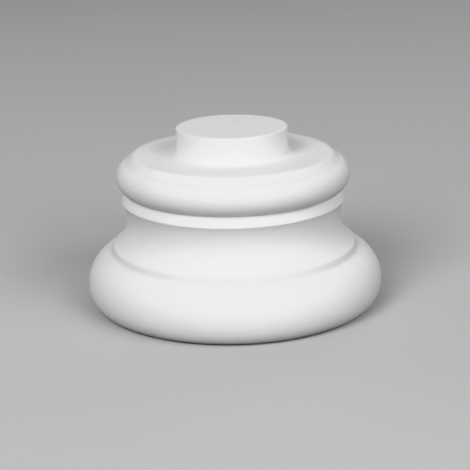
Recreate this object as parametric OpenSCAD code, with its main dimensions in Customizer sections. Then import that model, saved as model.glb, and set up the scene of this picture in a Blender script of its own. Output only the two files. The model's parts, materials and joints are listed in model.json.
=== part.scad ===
// Round column base, cast as one piece: a lower torus, a scotia and an upper
// torus, parted by narrow fillets, with a flat seat for the column shaft and
// a round spigot that centres it.
// Units are millimetres. +Z is up, and the origin is the middle of the underside.
// Every "out" is how far that line stands out past the edge of the seat, so a
// wider seat moves the whole moulding outwards.

/* [Shaft seat] */
// Diameter of the flat seat that the column shaft stands on
seat_d = 242; // [190:1:320]
// Diameter of the round spigot that the hollow shaft slides over
spigot_d = 134; // [80:1:180]
// Height of the spigot above the seat
spigot_h = 32; // [10:0.5:60]
// Reach of the little cove between the spigot and the seat
spigot_cove = 3; // [0.5:0.5:5]

/* [Lower torus] */
// Height from the ground to the fillet that stands on the torus
lower_torus_h = 65; // [50:0.5:90]
// How far its widest line stands out
lower_torus_out = 59; // [46:1:80]
// Height of its widest line above the ground
lower_torus_widest_z = 24; // [14:1:36]
// How far the round underside tucks in before it meets the ground
lower_torus_tuck = 15; // [6:1:24]
// Turn of the shoulder arc from the widest line to the fillet, in degrees
lower_torus_shoulder = 77; // [50:1:86]

/* [Lower fillet] */
// Height of the steep fillet between the lower torus and the scotia
lower_fillet_h = 7.5; // [3:0.5:10]
// How far its foot stands out
lower_fillet_foot_out = 29; // [28.5:0.5:42]
// How far its upper edge stands out
lower_fillet_edge_out = 26.5; // [20:0.5:28]
// Reach of the little cove where its foot meets the torus
lower_fillet_cove = 2; // [0.5:0.1:2.4]

/* [Scotia] */
// How far the narrowest line of the hollow stands out
neck_out = 8.2; // [4:0.1:11]
// Height of the long lower sweep, from the lower fillet to the neck
scotia_lower_h = 31; // [20:0.5:45]
// Turn of the lower sweep, in degrees
scotia_lower_turn = 48; // [30:1:80]
// Height of the short upper sweep, from the neck to the upper fillet
scotia_upper_h = 23.5; // [14:0.5:34]
// Turn of the upper sweep, in degrees
scotia_upper_turn = 46; // [30:1:80]

/* [Upper fillet] */
// Height of the fillet, up to where it runs under the upper torus
upper_fillet_h = 11.7; // [7:0.1:18]
// How far its lower edge stands out
upper_fillet_edge_out = 14.7; // [12:0.1:18]
// How far its top stands out, under the torus
upper_fillet_top_out = 8; // [4:0.1:11.5]

/* [Upper torus] */
// Radius of the torus's round section
upper_torus_r = 19.4; // [15:0.1:26]
// How far its widest line stands out
upper_torus_out = 19.8; // [16:0.1:26]

/* [Top fillet] */
// Height of the fillet that carries the seat
top_fillet_h = 7; // [3:0.5:12]
// How far its foot stands out on the torus
top_fillet_foot_out = 7.3; // [3:0.1:10]

/* [Finish] */
// How much the crisp edges are softened by casting and primer
edge_soft = 1.2; // [0.3:0.1:1.6]

/* [Hidden] */
BASE_WHITE = "#ececeb";
// Steps along a curved stretch of the outline, and along a softened edge
SWEEP_STEPS = 16;
EDGE_STEPS = 3;
TURNS = 180;

seat_r = seat_d / 2;
spigot_r = spigot_d / 2;
lower_torus_r = seat_r + lower_torus_out;
neck_r = seat_r + neck_out;

// Heights of the members, added up from the ground
lower_fillet_z = lower_torus_h;
scotia_z = lower_fillet_z + lower_fillet_h;
neck_z = scotia_z + scotia_lower_h;
upper_fillet_z = neck_z + scotia_upper_h;
upper_fillet_top_z = upper_fillet_z + upper_fillet_h;

// The circle of the upper torus. The fillets below and above cut it at their
// own radii, which sets how high it sits on the one and carries the other.
upper_torus_mid_r = seat_r + upper_torus_out - upper_torus_r;
fillet_below_offset = seat_r + upper_fillet_top_out - upper_torus_mid_r;
fillet_above_offset = seat_r + top_fillet_foot_out - upper_torus_mid_r;
fillet_below_turn = acos(fillet_below_offset / upper_torus_r);
fillet_above_turn = acos(fillet_above_offset / upper_torus_r);
upper_torus_z = upper_fillet_top_z + upper_torus_r * sin(fillet_below_turn);
top_fillet_z = upper_torus_z + upper_torus_r * sin(fillet_above_turn);
seat_z = top_fillet_z + top_fillet_h;
spigot_top_z = seat_z + spigot_h;

// A swelling or hollow curve that starts upright at [r, z], turns by turn
// degrees and ends [out, up] away from its start.
function sweep(r, z, out, up, turn) =
    [for (i = [0:SWEEP_STEPS])
        let (a = turn * i / SWEEP_STEPS)
        [r + out * (1 - cos(a)) / (1 - cos(turn)), z + up * sin(a) / sin(turn)]];

// Part of a circle round [mid_r, mid_z], from one angle to another
function circle_part(mid_r, mid_z, r, from, to) =
    [for (i = [0:2 * SWEEP_STEPS])
        let (a = from + (to - from) * i / (2 * SWEEP_STEPS))
        [mid_r + r * cos(a), mid_z + r * sin(a)]];

function reversed(points) = [for (i = [len(points) - 1:-1:0]) points[i]];
function without_last(points) = [for (i = [0:len(points) - 2]) points[i]];
function without_first(points) = [for (i = [1:len(points) - 1]) points[i]];
function toward(from, to, step) = from + step * (to - from) / norm(to - from);

// The corner at point b, softened between its neighbours a and c. The curve
// leaves the two straight sides at the given reach from the corner.
function soft_edge(a, b, c, reach = edge_soft) =
    let (start = toward(b, a, reach), end = toward(b, c, reach))
    [for (i = [0:EDGE_STEPS])
        let (t = i / EDGE_STEPS)
        (1 - t) * (1 - t) * start + 2 * t * (1 - t) * b + t * t * end];

module profile() {
    underside = reversed(sweep(lower_torus_r, lower_torus_widest_z,
        -lower_torus_tuck, -lower_torus_widest_z, 90));
    shoulder = sweep(lower_torus_r, lower_torus_widest_z,
        lower_fillet_foot_out - lower_torus_out, lower_fillet_z - lower_torus_widest_z,
        lower_torus_shoulder);
    lower_foot = shoulder[SWEEP_STEPS];
    lower_edge = [seat_r + lower_fillet_edge_out, scotia_z];
    hollow_below = reversed(sweep(neck_r, neck_z,
        lower_fillet_edge_out - neck_out, -scotia_lower_h, scotia_lower_turn));
    hollow_above = sweep(neck_r, neck_z,
        upper_fillet_edge_out - neck_out, scotia_upper_h, scotia_upper_turn);
    upper_edge = [seat_r + upper_fillet_edge_out, upper_fillet_z];
    bead = circle_part(upper_torus_mid_r, upper_torus_z, upper_torus_r,
        -fillet_below_turn, fillet_above_turn);
    seat_edge = [seat_r, seat_z];
    spigot_foot = [spigot_r, seat_z];
    spigot_edge = [spigot_r, spigot_top_z];
    spigot_middle = [0, spigot_top_z];

    polygon(concat(
        [[0, 0]],
        underside,
        without_last(without_first(shoulder)),
        soft_edge(shoulder[SWEEP_STEPS - 1], lower_foot, lower_edge, lower_fillet_cove),
        soft_edge(lower_foot, lower_edge, hollow_below[1]),
        without_last(without_first(hollow_below)),
        without_last(hollow_above),
        soft_edge(hollow_above[SWEEP_STEPS - 1], upper_edge, bead[0]),
        bead,
        soft_edge(bead[2 * SWEEP_STEPS], seat_edge, spigot_foot),
        soft_edge(seat_edge, spigot_foot, spigot_edge, spigot_cove),
        soft_edge(spigot_foot, spigot_edge, spigot_middle),
        [spigot_middle]
    ));
}

module column_base() {
    color(BASE_WHITE)
        rotate_extrude($fn = TURNS)
            profile();
}

column_base();
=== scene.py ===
# %% [markdown]
# # A round column base, cast in one piece
#
# A column base carries the foot of a shaft. This one is a single white casting: a wide
# lower torus, a steep little fillet, a hollow scotia, a second fillet, an upper torus and a
# flat seat with a round spigot that centres the hollow shaft.
#
# The CAD model already has its size and outline. This lesson turns that outline again with
# more points, gives it the slight unevenness of a real casting, and paints it with primer.

import json
import math

import bmesh
import bpy
from mathutils import Matrix, Vector, noise


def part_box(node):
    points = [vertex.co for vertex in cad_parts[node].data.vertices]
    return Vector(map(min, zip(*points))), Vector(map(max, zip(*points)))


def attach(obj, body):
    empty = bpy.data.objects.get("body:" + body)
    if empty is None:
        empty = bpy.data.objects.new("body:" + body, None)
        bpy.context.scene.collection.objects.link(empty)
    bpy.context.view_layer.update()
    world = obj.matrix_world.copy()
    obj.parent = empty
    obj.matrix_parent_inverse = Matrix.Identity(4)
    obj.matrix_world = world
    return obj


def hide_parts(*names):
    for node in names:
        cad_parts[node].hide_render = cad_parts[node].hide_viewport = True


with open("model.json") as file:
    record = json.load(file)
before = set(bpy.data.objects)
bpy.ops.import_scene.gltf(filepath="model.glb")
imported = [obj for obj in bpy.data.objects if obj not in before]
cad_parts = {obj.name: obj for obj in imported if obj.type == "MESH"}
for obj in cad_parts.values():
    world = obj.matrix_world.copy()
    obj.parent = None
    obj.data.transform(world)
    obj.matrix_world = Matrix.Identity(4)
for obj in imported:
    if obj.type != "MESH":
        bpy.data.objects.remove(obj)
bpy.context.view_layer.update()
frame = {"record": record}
MM = 0.001

# %% [markdown]
# ## The camera
#
# The base is seen from a little above, from far enough away that its ellipses stay calm.
# A camera can be aimed with a constraint, but a matrix made from three plain moves is
# easier to check: step back along the line of sight, look at the target, then roll.

# %% Camera
VIEW_ELEVATION = math.radians(17.28)
VIEW_ROLL = math.radians(-1.33)
VIEW_DISTANCE = 1.646
VIEW_TARGET = Vector((0.001, 0, 0.0774))
LENS = 102.96

camera_data = bpy.data.cameras.new("camera")
camera_data.lens = LENS
camera_data.sensor_width = 36
camera = bpy.data.objects.new("camera", camera_data)
bpy.context.collection.objects.link(camera)
bpy.context.scene.camera = camera

sight = Vector((0, math.cos(VIEW_ELEVATION), -math.sin(VIEW_ELEVATION)))
aim = sight.to_track_quat("-Z", "Y").to_matrix().to_4x4()
step_back = Matrix.Translation(VIEW_TARGET - VIEW_DISTANCE * sight)
camera.matrix_world = step_back @ aim @ Matrix.Rotation(VIEW_ROLL, 4, "Z")
print("camera at", [round(c, 3) for c in camera.matrix_world.translation])

# %% [markdown]
# ## The sizes of the moulding
#
# A moulding is named line by line, from the ground up. The outer radius and the heights of
# the seat and the spigot come from the CAD model and its mounts, and the other lines are
# measured from those. All sizes are in millimetres, as a moulder would give them. Every OUT
# is how far a line stands out past the edge of the seat, and SEAT_IN is how far that edge
# lies inside the widest line of the lower torus.

# %% Sizes
mounts = {mount["name"]: mount for mount in frame["record"]["mounts"]}
torus_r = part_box("column_base")[1].x / MM
top_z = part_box("column_base")[1].z / MM
seat_z = mounts["shaft_seat"]["pos_m"][2] / MM
spigot_r = mounts["spigot"]["dims"]["r_mm"]

SEAT_IN = 59
seat_r = torus_r - SEAT_IN

WIDEST_Z = 24
TUCK = 15
LOWER_TORUS_H = 65
LOWER_FILLET_H = 7.5
LOWER_FOOT_OUT = 29
LOWER_EDGE_OUT = 26.5
NECK_OUT = 8.2
SCOTIA_LOWER_H = 31
SCOTIA_UPPER_H = 23.5
UPPER_FILLET_H = 11.7
UPPER_EDGE_OUT = 14.7
UPPER_TOP_OUT = 8
BEAD_R = 19.4
BEAD_OUT = 19.8
TOP_FOOT_OUT = 7.3

fillet_z = LOWER_TORUS_H
scotia_z = fillet_z + LOWER_FILLET_H
neck_z = scotia_z + SCOTIA_LOWER_H
band_z = neck_z + SCOTIA_UPPER_H
band_top_z = band_z + UPPER_FILLET_H
bead_mid_r = seat_r + BEAD_OUT - BEAD_R
bead_start = -math.acos((seat_r + UPPER_TOP_OUT - bead_mid_r) / BEAD_R)
bead_end = math.acos((seat_r + TOP_FOOT_OUT - bead_mid_r) / BEAD_R)
bead_z = band_top_z - BEAD_R * math.sin(bead_start)
top_fillet_z = bead_z + BEAD_R * math.sin(bead_end)
print("seat at", round(seat_z, 2), "top fillet foot at", round(top_fillet_z, 2))

# %% [markdown]
# ## The outline, run by run
#
# Every round stretch of the moulding is part of a circle that was stretched a little. A
# vertex is spun round a circle of radius 1, the arc is scaled to its reach and rise, and
# then it is moved to its centre. Straight stretches are one vertex extruded step by step.
# Each run is made on its own, and merging doubles joins them into one outline.

# %% Two tools that draw one run of the outline
STEP = 2.4
LEAST_STEPS = 4


def arc(bm, centre, reach, rise, start, end):
    """A stretched arc round centre = (r, z), from one angle to another."""
    steps = max(LEAST_STEPS, round(abs(end - start) * max(abs(reach), abs(rise)) / STEP))
    first = len(bm.verts)
    vert = bm.verts.new((math.cos(start), 0, math.sin(start)))
    bmesh.ops.spin(bm, geom=[vert], cent=(0, 0, 0), axis=(0, -1, 0), angle=end - start,
                   steps=steps, use_merge=False)
    bm.verts.ensure_lookup_table()
    run = bm.verts[first:]
    bmesh.ops.scale(bm, verts=run, vec=(reach * MM, 1, rise * MM))
    bmesh.ops.translate(bm, verts=run, vec=(centre[0] * MM, 0, centre[1] * MM))


def straight(bm, start, end, steps=0):
    """A straight stretch from (r, z) to (r, z)."""
    way = Vector((end[0] - start[0], 0, end[1] - start[1]))
    steps = steps or max(1, round(way.length / STEP))
    vert = bm.verts.new((start[0] * MM, 0, start[1] * MM))
    for _ in range(steps):
        vert = bmesh.ops.extrude_vert_indiv(bm, verts=[vert])["verts"][0]
        bmesh.ops.translate(bm, verts=[vert], vec=way / steps * MM)


# %% [markdown]
# A swelling or hollow sweep starts upright at its widest or narrowest line, and turns by a
# known angle before it meets the next fillet. Its reach and rise follow from where it ends.

# %% A sweep that starts upright
def sweep(bm, line_r, line_z, out, up, turn):
    """From the upright point (line_r, line_z) to a point out and up from it."""
    turn = math.radians(turn)
    reach = -out / (1 - math.cos(turn))
    rise = up / math.sin(turn)
    arc(bm, (line_r - reach, line_z), reach, rise, 0, turn)


# %% [markdown]
# ## From the ground to the spigot
#
# The base stands on a flat underside, so the outline starts at the axis, runs out to the
# torus, climbs over every member and comes back to the axis on top of the spigot.

# %% Draw the outline
SHOULDER_TURN = 77
SCOTIA_LOWER_TURN = 48
SCOTIA_UPPER_TURN = 46
UNDERSIDE_STEPS = 30
SEAT_STEPS = 8
SPIGOT_WALL_STEPS = 5
SPIGOT_TOP_STEPS = 16
MERGE_REACH = 0.01

bm = bmesh.new()
straight(bm, (0, 0), (torus_r - TUCK, 0), UNDERSIDE_STEPS)
sweep(bm, torus_r, WIDEST_Z, -TUCK, -WIDEST_Z, 90)
sweep(bm, torus_r, WIDEST_Z, LOWER_FOOT_OUT - SEAT_IN, fillet_z - WIDEST_Z, SHOULDER_TURN)
straight(bm, (seat_r + LOWER_FOOT_OUT, fillet_z), (seat_r + LOWER_EDGE_OUT, scotia_z))
sweep(bm, seat_r + NECK_OUT, neck_z, LOWER_EDGE_OUT - NECK_OUT, -SCOTIA_LOWER_H, SCOTIA_LOWER_TURN)
sweep(bm, seat_r + NECK_OUT, neck_z, UPPER_EDGE_OUT - NECK_OUT, SCOTIA_UPPER_H, SCOTIA_UPPER_TURN)
straight(bm, (seat_r + UPPER_EDGE_OUT, band_z), (seat_r + UPPER_TOP_OUT, band_top_z))
arc(bm, (bead_mid_r, bead_z), BEAD_R, BEAD_R, bead_start, bead_end)
straight(bm, (seat_r + TOP_FOOT_OUT, top_fillet_z), (seat_r, seat_z))
straight(bm, (seat_r, seat_z), (spigot_r, seat_z), SEAT_STEPS)
straight(bm, (spigot_r, seat_z), (spigot_r, top_z), SPIGOT_WALL_STEPS)
straight(bm, (spigot_r, top_z), (0, top_z), SPIGOT_TOP_STEPS)
bmesh.ops.remove_doubles(bm, verts=bm.verts, dist=MERGE_REACH * MM)
print("outline:", len(bm.verts), "points,", len(bm.edges), "edges")

# %% [markdown]
# ## Turning the outline
#
# A plasterer runs such a moulding by turning a metal template round a centre pin. Spin does
# the same: it sweeps the outline once round the axis, and use_merge closes the seam. The
# spin can leave the faces pointing inwards, so the normals are worked out again.

# %% Spin it round the axis
TURNS = 460

bmesh.ops.spin(bm, geom=bm.verts[:] + bm.edges[:], cent=(0, 0, 0), axis=(0, 0, 1),
               angle=math.tau, steps=TURNS, use_merge=True)
bmesh.ops.remove_doubles(bm, verts=bm.verts, dist=MERGE_REACH * MM)
bmesh.ops.recalc_face_normals(bm, faces=bm.faces)
print("turned:", len(bm.verts), "points,", len(bm.faces), "faces")

# %% [markdown]
# ## Soft edges and coves
#
# No cast edge is sharp. The mould rounds it, and the primer rounds it again. Bevel, told to
# work on edges, turns each crease ring into a narrow round: a soft arris where the ring
# stands out and a small cove where it lies in a corner. Each ring below is given by its
# radius, its height and how far the rounding reaches to either side.

# %% Bevel each crease ring
CREASES = {
    "ground edge": (torus_r - TUCK, 0, 1.2),
    "cove at the foot of the lower fillet": (seat_r + LOWER_FOOT_OUT, fillet_z, 2.2),
    "edge of the lower fillet": (seat_r + LOWER_EDGE_OUT, scotia_z, 0.7),
    "edge of the upper fillet": (seat_r + UPPER_EDGE_OUT, band_z, 1.0),
    "corner under the upper torus": (seat_r + UPPER_TOP_OUT, band_top_z, 0.5),
    "foot of the top fillet": (seat_r + TOP_FOOT_OUT, top_fillet_z, 0.4),
    "edge of the seat": (seat_r, seat_z, 0.6),
    "foot of the spigot": (spigot_r, seat_z, 6.0),
    "edge of the spigot": (spigot_r, top_z, 0.8),
}
RING_REACH = 0.02


def crease_ring(r, z):
    """The edges that run round the axis at radius r and height z."""
    near = RING_REACH * MM
    on_ring = {v for v in bm.verts
               if abs(v.co.z - z * MM) < near and abs(v.co.xy.length - r * MM) < near}
    return [e for e in bm.edges if e.verts[0] in on_ring and e.verts[1] in on_ring]


for name, (r, z, width) in CREASES.items():
    ring = crease_ring(r, z)
    bmesh.ops.bevel(bm, geom=ring, offset=width * MM, offset_type="OFFSET", segments=3,
                    profile=0.5, affect="EDGES", clamp_overlap=True, material=-1)
    print(name, "-", len(ring), "edges rounded by", width, "mm")

# %% [markdown]
# ## The unevenness of a casting
#
# A foam or plaster casting shrinks a little as it sets, so its surface is never quite true.
# Noise that is much larger than the faces moves every point inwards by a fraction of a
# millimetre. It only ever moves inwards, so that the base stays inside its real size, and
# the seat and the underside stay flat, because other parts stand on them.

# %% Let the surface sag slightly
SAG = 0.35
SAG_SIZE = 70
RIPPLE = 0.05
RIPPLE_SIZE = 9


def unevenness(place):
    """How far the casting lies under its true surface, in millimetres."""
    broad = 0.5 + 0.5 * noise.noise(place / (SAG_SIZE * MM))
    fine = 0.5 + 0.5 * noise.noise(place / (RIPPLE_SIZE * MM))
    return SAG * broad + RIPPLE * fine


bm.normal_update()
flat_z = {0.0, round(seat_z, 2), round(top_z, 2)}
moved = 0
for vert in bm.verts:
    if round(vert.co.z / MM, 2) in flat_z:
        continue
    vert.co -= vert.normal * unevenness(vert.co) * MM
    moved += 1
print("moved", moved, "of", len(bm.verts), "points inwards")

# %% [markdown]
# ## The finished piece
#
# The mesh becomes one object at the origin. It takes the place of the CAD node in the
# picture, rides on the same body, and is shaded smooth, since every real edge has its own
# rounded faces.

# %% Make the object
mesh = bpy.data.meshes.new("column_base_casting")
for face in bm.faces:
    face.smooth = True
bm.to_mesh(mesh)
bm.free()
casting = bpy.data.objects.new("column_base_casting", mesh)
bpy.context.collection.objects.link(casting)
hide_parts("column_base")
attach(casting, "root")
print(casting.name, "has", sum(len(p.vertices) - 2 for p in mesh.polygons), "triangles")


# %% [markdown]
# ## Small tools for materials
#
# A material is a chain of nodes. Four short helpers keep the chains readable. One adds a
# node and feeds its inputs, either with a number or with another node's output. One does a
# step of arithmetic, one finds a length from its two sides, and one starts a node group.

# %% Node helpers
def add(tree, kind, inputs=None, **settings):
    """Adds a node, sets its properties, and feeds its inputs with values or outputs."""
    node = tree.nodes.new(kind)
    for name, value in settings.items():
        setattr(node, name, value)
    for name, value in (inputs or {}).items():
        if isinstance(value, bpy.types.NodeSocket):
            tree.links.new(value, node.inputs[name])
        else:
            node.inputs[name].default_value = value
    return node


def sums(tree, operation, *values, clamp=False):
    """One step of arithmetic on numbers or outputs."""
    feeds = dict(enumerate(values))
    return add(tree, "ShaderNodeMath", feeds, operation=operation, use_clamp=clamp).outputs[0]


def length(tree, side, other_side):
    """How far apart two points are, from their distances along two square directions."""
    squares = [sums(tree, "MULTIPLY", each, each) for each in (side, other_side)]
    return sums(tree, "SQRT", sums(tree, "ADD", *squares))


def new_group(name, inputs, output):
    """An empty node group with one output. Vector and Centre are places, the rest numbers."""
    group = bpy.data.node_groups.new(name, "ShaderNodeTree")
    for socket in inputs:
        kind = "NodeSocketVector" if socket in ("Vector", "Centre") else "NodeSocketFloat"
        group.interface.new_socket(socket, in_out="INPUT", socket_type=kind)
    group.interface.new_socket(output, in_out="OUTPUT", socket_type="NodeSocketFloat")
    source = group.nodes.new("NodeGroupInput")
    return group, source.outputs, group.nodes.new("NodeGroupOutput")


# %% [markdown]
# ## Mottle
#
# Sprayed primer never dries to one even tone. A soft noise with a chosen patch size gives a
# value round zero, which can shift a colour, a roughness or a height. The casting and the
# floor share it, so it is a group.

# %% The mottle group
def make_mottle():
    group, given, out = new_group("soft_mottle", ["Vector", "Patch", "Depth"], "Value")
    scale = sums(group, "DIVIDE", 1.0, given["Patch"])
    cloud = add(group, "ShaderNodeTexNoise", {"Vector": given["Vector"], "Scale": scale,
                                              "Detail": 3.0, "Roughness": 0.55})
    centred = sums(group, "SUBTRACT", cloud.outputs[0], 0.5)
    group.links.new(sums(group, "MULTIPLY", centred, given["Depth"]), out.inputs[0])
    return group


mottle = make_mottle()
print("made the group", mottle.name)

# %% [markdown]
# ## Painted crease shade
#
# Shade in the inside corners is painted into the colour as a darker grey. Every corner of a
# turned piece is a circle, so the distance to that circle is enough: its radius and height
# are inputs, and the mask fades away from it. A little noise keeps it from lying quite evenly.

# %% The crease group
SHADE_PATCHES_PER_M = 28.0
SHADE_LEAST = 0.15
SHADE_SPAN = 0.7


# The mask says where shade is painted: strongest on a corner ring, fading away from it.
def make_painted_crease_shade():
    group, given, out = new_group("painted_crease_shade", ["Vector", "Radius", "Height", "Width"], "Mask")
    split = add(group, "ShaderNodeSeparateXYZ", {"Vector": given["Vector"]}).outputs
    off_r = sums(group, "SUBTRACT", length(group, split["X"], split["Y"]), given["Radius"])
    off_z = sums(group, "SUBTRACT", split["Z"], given["Height"])
    ratio = sums(group, "DIVIDE", length(group, off_r, off_z), given["Width"])
    squared = sums(group, "MULTIPLY", ratio, ratio)
    near = sums(group, "EXPONENT", sums(group, "MULTIPLY", squared, -1.0))
    cloud = add(group, "ShaderNodeTexNoise", {"Vector": given["Vector"], "Detail": 4.0,
                                              "Scale": SHADE_PATCHES_PER_M})
    patchy = sums(group, "MULTIPLY_ADD", cloud.outputs[0], SHADE_SPAN, SHADE_LEAST, clamp=True)
    group.links.new(sums(group, "MULTIPLY", near, patchy), out.inputs[0])
    return group


painted_crease_shade = make_painted_crease_shade()
print("made the group", painted_crease_shade.name)

# %% [markdown]
# ## Turning marks
#
# The flat seat and the top of the spigot were trued on a turntable, which leaves faint
# rings. Noise read along the radius alone gives rings, and a slow drift round the piece
# stops them from looking like a drawn target.

# %% The turning marks group
DRIFTS_PER_M = 9.0


def make_turning_marks():
    group, given, out = new_group("turning_marks", ["Vector", "Spacing"], "Height")
    split = add(group, "ShaderNodeSeparateXYZ", {"Vector": given["Vector"]}).outputs
    drift = add(group, "ShaderNodeTexNoise", {"Vector": given["Vector"], "Scale": DRIFTS_PER_M,
                                              "Detail": 1.0})
    ring = sums(group, "DIVIDE", length(group, split["X"], split["Y"]), given["Spacing"])
    level = sums(group, "DIVIDE", split["Z"], given["Spacing"])
    place = add(group, "ShaderNodeCombineXYZ", {"X": ring, "Y": level, "Z": drift.outputs[0]})
    lines = add(group, "ShaderNodeTexNoise", {"Vector": place.outputs[0], "Scale": 1.0, "Detail": 2.0})
    group.links.new(lines.outputs[0], out.inputs[0])
    return group


turning_marks = make_turning_marks()
print("made the group", turning_marks.name)

# %% [markdown]
# ## Specks
#
# A few dark specks are trapped in the paint. A Voronoi texture gives one random spot in
# each cell: the distance to it draws the dot, and the cell's random colour decides its size
# and which few cells have one. Its sizes are shares of the cell.

# %% The specks group
SMALLEST_SPECK = 0.02
SPECK_GROWTH = 0.05


def make_specks():
    group, given, out = new_group("paint_specks", ["Vector", "Spacing", "Share"], "Mask")
    scale = sums(group, "DIVIDE", 1.0, given["Spacing"])
    cells = add(group, "ShaderNodeTexVoronoi", {"Vector": given["Vector"], "Scale": scale})
    chance = add(group, "ShaderNodeSeparateColor", {"Color": cells.outputs["Color"]}).outputs
    size = sums(group, "MULTIPLY_ADD", chance["Green"], SPECK_GROWTH, SMALLEST_SPECK)
    far = sums(group, "DIVIDE", cells.outputs["Distance"], size)
    dot = sums(group, "SUBTRACT", 1.0, far, clamp=True)
    chosen = sums(group, "LESS_THAN", chance["Red"], given["Share"])
    group.links.new(sums(group, "MULTIPLY", dot, chosen), out.inputs[0])
    return group


paint_specks = make_specks()
print("made the group", paint_specks.name)

# %% [markdown]
# ## Scuffs
#
# Where the base was set down or brushed past, a small patch of the primer is rubbed. The
# patch is the space near one point, broken up by a fine noise that is stretched level, as
# such rubbing runs round the piece.

# %% The scuff group
FLATTEN = (1, 1, 3)
STREAKS_PER_M = (120, 120, 900)
STREAK_CONTRAST = 4.0
STREAK_DROP = -1.6


def make_scuff():
    group, given, out = new_group("rubbed_patch", ["Vector", "Centre", "Reach"], "Mask")
    kind = "ShaderNodeVectorMath"
    off = add(group, kind, {0: given["Vector"], 1: given["Centre"]}, operation="SUBTRACT")
    squash = add(group, kind, {0: off.outputs[0], 1: FLATTEN}, operation="MULTIPLY")
    distance = add(group, kind, {0: squash.outputs[0]}, operation="LENGTH")
    ratio = sums(group, "DIVIDE", distance.outputs["Value"], given["Reach"])
    near = sums(group, "SUBTRACT", 1.0, ratio, clamp=True)
    fine = add(group, kind, {0: given["Vector"], 1: STREAKS_PER_M}, operation="MULTIPLY")
    streaks = add(group, "ShaderNodeTexNoise", {"Vector": fine.outputs[0], "Scale": 1.0, "Detail": 3.0})
    broken = sums(group, "MULTIPLY_ADD", streaks.outputs[0], STREAK_CONTRAST, STREAK_DROP, clamp=True)
    group.links.new(sums(group, "MULTIPLY", near, broken), out.inputs[0])
    return group


rubbed_patch = make_scuff()
print("made the group", rubbed_patch.name)


# %% [markdown]
# ## Matt white primer
#
# Primer is a plain white with a weak, broad gloss, so one Principled BSDF carries it. Its
# colour starts from one white, is shifted a little by mottle in two sizes, and is greyed by
# painted shade in the corners, by specks and by scuffs. Each step mixes towards a darker grey by its
# own mask.

# %% Start the primer
PRIMER_WHITE = (0.88, 0.88, 0.877, 1)
PRIMER_GLOSS = 0.35
# The next grey is painted shade, for the corners and the underside of the upper torus.
PAINTED_SHADE_GREY = (0.60, 0.595, 0.58, 1)
SPECK_GREY = (0.30, 0.29, 0.27, 1)
SCUFF_GREY = (0.58, 0.58, 0.57, 1)

primer = bpy.data.materials.new("matt_white_primer")
primer.use_nodes = True
tree = primer.node_tree
shader = tree.nodes["Principled BSDF"]
shader.inputs["Specular IOR Level"].default_value = PRIMER_GLOSS
place = add(tree, "ShaderNodeTexCoord").outputs["Object"]


def use_group(tree, group, **inputs):
    """Places a group in a material, with its own values, and returns its output."""
    # add() sets properties before inputs, so the group is in place before it is fed
    return add(tree, "ShaderNodeGroup", inputs, node_tree=group).outputs[0]


def shift_colour(tree, colour, amount):
    """Makes a colour lighter or darker by a value round zero."""
    factor = sums(tree, "ADD", 1.0, amount)
    return add(tree, "ShaderNodeVectorMath", {0: colour, "Scale": factor}, operation="SCALE").outputs[0]


def stain_and_shade(tree, colour, grey, mask, strength):
    """Mixes a colour towards a grey by a mask, used for painted shade and for specks and scuffs."""
    amount = sums(tree, "MULTIPLY", mask, strength, clamp=True)
    return add(tree, "ShaderNodeMix", {0: amount, 6: colour, 7: grey}, data_type="RGBA").outputs[2]


# %% [markdown]
# ### Colour and painted shade
#
# The mottle comes in two sizes, one as wide as a hand and one as fine as spray, each with
# its patch size in metres and its depth. Shade is painted in rings, each with its radius, its
# height, how wide it spreads and how strong it is. The rings on the lower fillet and under
# the upper torus are wider, since the whole of those sheltered faces is painted a little darker as
# shade.

# %% Primer colour: mottle, then painted shade in the corners
MOTTLES = {
    "broad": (0.09, 0.05),
    "fine": (0.006, 0.03),
}
start = add(tree, "ShaderNodeRGB")
start.outputs[0].default_value = PRIMER_WHITE
colour = start.outputs[0]
for name, (patch, depth) in MOTTLES.items():
    shift = use_group(tree, mottle, Vector=place, Patch=patch, Depth=depth)
    colour = shift_colour(tree, colour, shift)
    print(name, "mottle of", patch, "m")

# Each ring is painted shade: a darker grey in a corner or under an overhang, where shade falls.
PAINTED_SHADE_RINGS = {
    "foot of the spigot": (spigot_r, seat_z, 1.6, 0.1),
    "foot of the top fillet": (seat_r + TOP_FOOT_OUT + 1, top_fillet_z - 0.4, 1.3, 0.4),
    "corner under the upper torus": (seat_r + UPPER_TOP_OUT, band_top_z, 1.8, 0.7),
    "underside of the upper torus": (seat_r + UPPER_TOP_OUT + 7, band_top_z + 5, 6.0, 0.6),
    "foot of the lower fillet": (seat_r + LOWER_FOOT_OUT, fillet_z, 2.0, 0.2),
    "face of the lower fillet": (seat_r + LOWER_FOOT_OUT - 1, fillet_z + 3, 4.2, 0.55),
}
for name, (r, z, width, strength) in PAINTED_SHADE_RINGS.items():
    mask = use_group(tree, painted_crease_shade, Vector=place, Radius=r * MM, Height=z * MM, Width=width * MM)
    colour = stain_and_shade(tree, colour, PAINTED_SHADE_GREY, mask, strength)
    print("painted shade at the", name)

# %% [markdown]
# ### Placed marks
#
# A few rubbed patches are placed where such a piece is touched, knocked or set
# down. Each has an angle round the base from the front, positive to the right, its radius
# and height, its reach and its strength.

# %% Primer colour: scuffs and specks
SCUFFS = {
    "set-down rub at the ground edge": (-33, 177, 8.5, 22, 0.5),
    "nick on the widest line": (-60, 180, 24, 10, 0.35),
    "handling mark on the seat": (-52, 105, seat_z, 26, 0.22),
    "rub on the upper torus": (-52, 137, 168, 24, 0.3),
    "speck on the upper torus": (-29, 130, 174, 4, 0.6),
    "touch on the spigot": (156, 18, top_z, 14, 0.3),
    "rub in the hollow": (-65, 130, 110, 22, 0.25),
}
SPECK_SPACING = 22
SPECK_SHARE = 0.16
SPECK_STRENGTH = 0.5


def around(angle, r, z):
    """A point at an angle from the front, positive to the right, in metres."""
    a = math.radians(angle)
    return (r * math.sin(a) * MM, -r * math.cos(a) * MM, z * MM)


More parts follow.
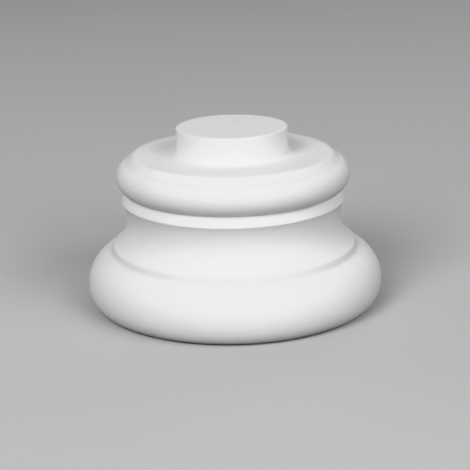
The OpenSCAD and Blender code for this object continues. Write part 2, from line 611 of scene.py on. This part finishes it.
for name, (angle, r, z, reach, strength) in SCUFFS.items():
    mask = use_group(tree, rubbed_patch, Vector=place, Centre=around(angle, r, z), Reach=reach * MM)
    colour = stain_and_shade(tree, colour, SCUFF_GREY, mask, strength)
    print(name)

specks = use_group(tree, paint_specks, Vector=place, Spacing=SPECK_SPACING * MM, Share=SPECK_SHARE)
colour = stain_and_shade(tree, colour, SPECK_GREY, specks, SPECK_STRENGTH)
tree.links.new(colour, shader.inputs["Base Color"])

# %% [markdown]
# ### Sheen and touch
#
# Primer is matt but not dead: the gloss wanders a little. Two bumps give it touch, a fine
# sprayed grain everywhere and the turning marks on the flat faces, which start at the
# seat's height.

# %% Primer roughness and bump
ROUGHNESS = 0.58
SHEEN_PATCH = 20
SHEEN_WANDER = 0.16
GRAIN_PATCH = 1.2
GRAIN_HEIGHT = 0.12
RING_SPACING = 1.6
RING_HEIGHT = 0.2
BELOW_SEAT = 0.4

wander = use_group(tree, mottle, Vector=place, Patch=SHEEN_PATCH * MM, Depth=SHEEN_WANDER)
tree.links.new(sums(tree, "ADD", ROUGHNESS, wander), shader.inputs["Roughness"])

grain = use_group(tree, mottle, Vector=place, Patch=GRAIN_PATCH * MM, Depth=1.0)
rings = use_group(tree, turning_marks, Vector=place, Spacing=RING_SPACING * MM)
height = add(tree, "ShaderNodeSeparateXYZ", {"Vector": place}).outputs["Z"]
on_seat = sums(tree, "GREATER_THAN", height, (seat_z - BELOW_SEAT) * MM)
rings = sums(tree, "MULTIPLY", rings, on_seat)
grain_bump = add(tree, "ShaderNodeBump", {"Height": grain, "Strength": 0.25,
                                          "Distance": GRAIN_HEIGHT * MM})
ring_bump = add(tree, "ShaderNodeBump", {"Height": rings, "Strength": 0.3,
                                         "Distance": RING_HEIGHT * MM,
                                         "Normal": grain_bump.outputs[0]})
tree.links.new(ring_bump.outputs[0], shader.inputs["Normal"])
casting.data.materials.append(primer)
print("primer has", len(tree.nodes), "nodes")

# %% [markdown]
# ## The floor
#
# The base stands on a plain pale floor, much wider than the picture. It isn't part of the
# object. It lies a hair under the base, so that the two flat
# faces don't fight for the same place.
#
# A pale floor would throw so much light back up that the undersides of the white mouldings
# lose their shade. The Light Path node parts the two jobs: what is seen is pale, and what
# lights the base from below is dark, as if the floor were pale paper in a dark studio.

# %% Floor
FLOOR_HALF = 9
FLOOR_GAP = 0.1
FLOOR_PATCH = 0.6
FLOOR_DRIFT = 0.02
FLOOR_PALE = (0.60, 0.60, 0.60, 1)
FLOOR_BOUNCE = (0.06, 0.06, 0.06, 1)

bm = bmesh.new()
bmesh.ops.create_grid(bm, x_segments=1, y_segments=1, size=FLOOR_HALF)
bmesh.ops.translate(bm, verts=bm.verts, vec=(0, 0, -FLOOR_GAP * MM))
floor_mesh = bpy.data.meshes.new("pale_floor")
bm.to_mesh(floor_mesh)
bm.free()
floor = bpy.data.objects.new("pale_floor", floor_mesh)
bpy.context.collection.objects.link(floor)

floor_paint = bpy.data.materials.new("floor_paint")
floor_paint.use_nodes = True
tree = floor_paint.node_tree
shader = tree.nodes["Principled BSDF"]
shader.inputs["Roughness"].default_value = 0.9
shader.inputs["Specular IOR Level"].default_value = 0.1
place = add(tree, "ShaderNodeTexCoord").outputs["Object"]
start = add(tree, "ShaderNodeRGB")
start.outputs[0].default_value = FLOOR_PALE
drift = use_group(tree, mottle, Vector=place, Patch=FLOOR_PATCH, Depth=FLOOR_DRIFT)
seen = shift_colour(tree, start.outputs[0], drift)
ray = add(tree, "ShaderNodeLightPath").outputs["Is Camera Ray"]
split = add(tree, "ShaderNodeMix", {0: ray, 6: FLOOR_BOUNCE, 7: seen}, data_type="RGBA")
tree.links.new(split.outputs[2], shader.inputs["Base Color"])
floor.data.materials.append(floor_paint)
print("floor is", 2 * FLOOR_HALF, "m wide")

# %% [markdown]
# ## Studio light
#
# White on white is shown by shadow alone, so the light is broad and comes from the front.
# Two lamps stand on the front left, a high key and one lower down, and two on the front
# right, where the lower one is the stronger. The middle of the casting is brightest, and its
# two ends fall away. A lamp on the right side and four weak ones behind keep the ends and
# the back from going black.
#
# Each lamp is a large disc aimed at the base. It is placed by its angle round the base from
# the front, positive to the right, and its angle above the floor, and then has its power.

# %% Lamps
LIGHT_CENTRE = Vector((0, 0, 0.1))
LAMP_DISTANCE = 5.0
LAMP_WIDTH = 2.5
LAMPS = {
    "key": (-35, 40, 109),
    "key_low": (-35, 22, 69),
    "fill": (35, 40, 24),
    "fill_low": (35, 22, 90),
    "right_side": (65, 40, 48),
    "left_back": (-120, 25, 23),
    "back": (180, 50, 22),
    "back_left": (-150, 30, 10),
    "back_right": (150, 30, 22),
}

for name, (angle, above, power) in LAMPS.items():
    a, e = math.radians(angle), math.radians(above)
    towards = Vector((math.sin(a) * math.cos(e), -math.cos(a) * math.cos(e), math.sin(e)))
    lamp = bpy.data.lights.new(name, "AREA")
    lamp.shape = "DISK"
    lamp.size = LAMP_WIDTH
    lamp.energy = power
    lamp_object = bpy.data.objects.new(name, lamp)
    bpy.context.collection.objects.link(lamp_object)
    lamp_object.location = LIGHT_CENTRE + LAMP_DISTANCE * towards
    lamp_object.rotation_euler = (-towards).to_track_quat("-Z", "Y").to_euler()
    print(name, "lamp:", power, "W")

# %% [markdown]
# The world is a pale backdrop where it is seen, and gives almost no light. The view
# transform is set too, because it decides how bright whites roll off: this one keeps them
# from clipping.

# %% World and view
WORLD_SEEN = 0.5
WORLD_LIGHT = 0.01

world = bpy.data.worlds.new("studio")
world.use_nodes = True
tree = world.node_tree
ray = add(tree, "ShaderNodeLightPath").outputs["Is Camera Ray"]
strength = sums(tree, "MULTIPLY_ADD", ray, WORLD_SEEN - WORLD_LIGHT, WORLD_LIGHT)
tree.nodes["Background"].inputs["Color"].default_value = (1, 1, 1, 1)
tree.links.new(strength, tree.nodes["Background"].inputs["Strength"])
bpy.context.scene.world = world
bpy.context.scene.view_settings.view_transform = "Khronos PBR Neutral"
print("view:", bpy.context.scene.view_settings.view_transform)
